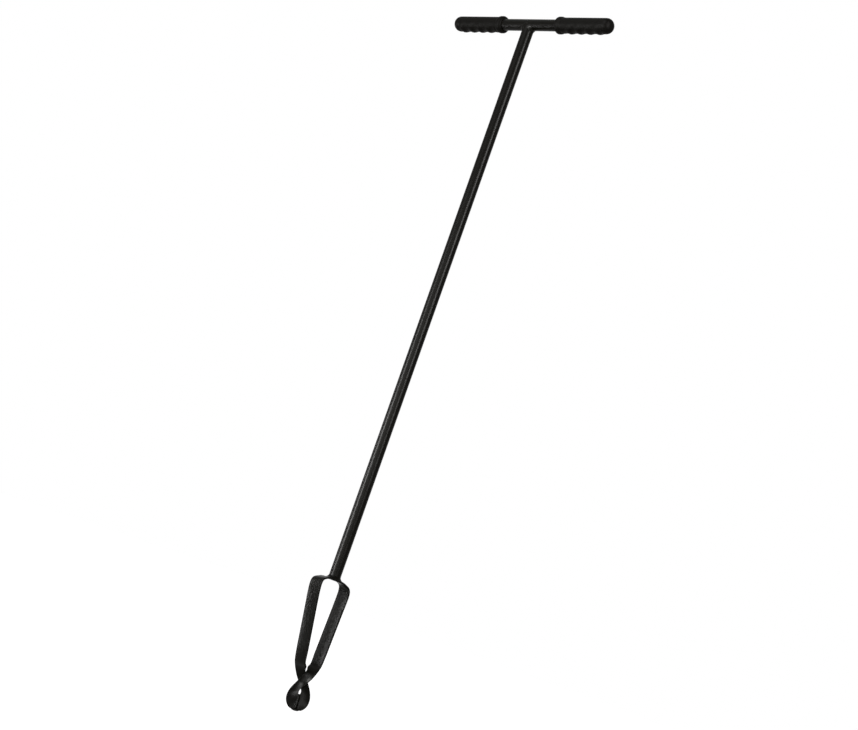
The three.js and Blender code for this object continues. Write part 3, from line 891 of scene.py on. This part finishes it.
def white_floor(looks):
    """Floor that takes shadows, and that shows the backdrop's white where it is lit."""
    sheet = Sheet(bpy.data.materials.new("studio_floor"))
    white = with_alpha(looks.backdrop)
    sockets = {"Base Color": with_alpha(looks.backdrop, 0.8), "Roughness": 0.9, "Specular IOR Level": 0.0}
    matt = sheet.node("ShaderNodeBsdfPrincipled", {}, sockets, "BSDF")
    glow = sheet.node("ShaderNodeEmission", {}, {"Color": white, "Strength": FLOOR_GLOW}, "Emission")
    both = sheet.node("ShaderNodeAddShader", {}, {0: matt, 1: glow}, "Shader")
    mixed = sheet.node("ShaderNodeMixShader", {}, {0: sheet.in_sight(), 1: matt, 2: both}, "Shader")
    sheet.node("ShaderNodeOutputMaterial", {}, {"Surface": mixed})
    return sheet.owner


def white_world(looks):
    """World that is white in sight, and an even fill for the light that falls on the auger."""
    sheet = Sheet(bpy.data.worlds.new("studio_world"))
    white = with_alpha(looks.backdrop)
    seen = sheet.node("ShaderNodeBackground", {}, {"Color": white, "Strength": 1.0}, "Background")
    fill = sheet.node("ShaderNodeBackground", {}, {"Color": white, "Strength": looks.fill}, "Background")
    mixed = sheet.node("ShaderNodeMixShader", {}, {0: sheet.in_sight(), 1: fill, 2: seen}, "Shader")
    sheet.node("ShaderNodeOutputWorld", {}, {"Surface": mixed})
    return sheet.owner


def softbox(name, degrees, distance, low, high, width, power):
    """An upright area lamp at an azimuth off the camera's direction, aimed level at the shaft."""
    azimuth = math.radians(degrees)
    back = np.array([math.sin(CAMERA_AZIMUTH), -math.cos(CAMERA_AZIMUTH), 0])
    right = np.array([math.cos(CAMERA_AZIMUTH), math.sin(CAMERA_AZIMUTH), 0])
    toward = back * math.cos(azimuth) + right * math.sin(azimuth)
    side = right * math.cos(azimuth) - back * math.sin(azimuth)
    lamp = bpy.data.lights.new(name, "AREA")
    lamp.shape = "RECTANGLE"
    lamp.size = width
    lamp.size_y = high - low
    lamp.energy = power
    holder = bpy.data.objects.new(name, lamp)
    bpy.context.scene.collection.objects.link(holder)
    up = np.array([0, 0, 1])
    place = toward * distance + up * (low + high) / 2
    holder.matrix_world = Matrix([
        [side[0], up[0], toward[0], place[0]],
        [side[1], up[1], toward[1], place[1]],
        [side[2], up[2], toward[2], place[2]],
        [0, 0, 0, 1],
    ])
    return holder


def keep_to_handle_and_shaft(holder):
    """Light linking keeps a lamp off the head, whose level crown would mirror it at a grazing angle."""
    lit = bpy.data.collections.new(holder.name + "_lit")
    for name in ("crossbar_tube", "shaft_tube", "handle_fillet", "right_grip_sleeve", "left_grip_sleeve"):
        lit.objects.link(bpy.data.objects[name])
    holder.light_linking.receiver_collection = lit


def photo_camera():
    """The camera stands where the photograph was taken, rolled so that the auger leans in the frame."""
    camera = bpy.data.cameras.new("photo_camera")
    camera.sensor_width = 36.0
    camera.lens = camera.sensor_width * FOCAL_PIXELS / PHOTO_WIDTH
    camera.clip_start = 0.05
    camera.clip_end = 100.0
    holder = bpy.data.objects.new("photo_camera", camera)
    bpy.context.scene.collection.objects.link(holder)
    holder.matrix_world = Matrix([
        [0.6803425, -0.1433289, 0.7187426, 2.22120],
        [0.6544740, -0.3225528, -0.6838300, -2.07130],
        [0.3298451, 0.9356370, -0.1256414, 0.22247],
        [0, 0, 0, 1],
    ])
    bpy.context.scene.camera = holder


class AUGER_OT_studio(bpy.types.Operator):
    """Set up the plain white studio, its lamps and the camera"""

    bl_idname = "auger.studio"
    bl_label = "Studio"

    def execute(self, context):
        looks = context.scene.auger_looks
        mesh = bpy.data.meshes.new("studio_floor")
        signs = ((-1, -1), (1, -1), (1, 1), (-1, 1))
        corners = [(x * FLOOR_REACH, y * FLOOR_REACH, FLOOR_HEIGHT) for x, y in signs]
        mesh.from_pydata(corners, [], [(0, 1, 2, 3)])
        mesh.materials.append(white_floor(looks))
        floor = bpy.data.objects.new("studio_floor", mesh)
        context.scene.collection.objects.link(floor)
        context.scene.world = white_world(looks)
        for lamp in MIRRORED_LAMPS:
            softbox(*lamp).visible_diffuse = False
        keep_to_handle_and_shaft(bpy.data.objects["right_strip"])
        softbox("key_softbox", -20, 3.5, 1.2, 3.2, 2.0, 60.0).visible_glossy = False
        photo_camera()
        context.scene.view_settings.view_transform = "Standard"
        return {"FINISHED"}


# Panel and registration


class AUGER_PT_panel(bpy.types.Panel):
    """Lists the auger's sizes, looks and build steps"""

    bl_idname = "AUGER_PT_panel"
    bl_label = "Soil Auger"
    bl_space_type = "VIEW_3D"
    bl_region_type = "UI"
    bl_category = "Soil Auger"

    def draw(self, context):
        for group in (context.scene.auger_sizes, context.scene.auger_looks):
            box = self.layout.box()
            for name in group.__annotations__:
                box.prop(group, name)
        for operator in OPERATORS:
            self.layout.operator(operator.bl_idname)


OPERATORS = (AUGER_OT_tubes, AUGER_OT_grips, AUGER_OT_welds, AUGER_OT_head, AUGER_OT_studio)
CLASSES = (AugerSizes, AugerLooks) + OPERATORS + (AUGER_PT_panel,)


def register():
    for item in CLASSES:
        bpy.utils.register_class(item)
    bpy.types.Scene.auger_sizes = PointerProperty(type=AugerSizes)
    bpy.types.Scene.auger_looks = PointerProperty(type=AugerLooks)


def unregister():
    del bpy.types.Scene.auger_looks
    del bpy.types.Scene.auger_sizes
    for item in reversed(CLASSES):
        bpy.utils.unregister_class(item)


def main():
    register()
    bpy.ops.auger.tubes()
    bpy.ops.auger.grips()
    bpy.ops.auger.welds()
    bpy.ops.auger.head()
    bpy.ops.auger.studio()


if __name__ == "__main__":
    main()
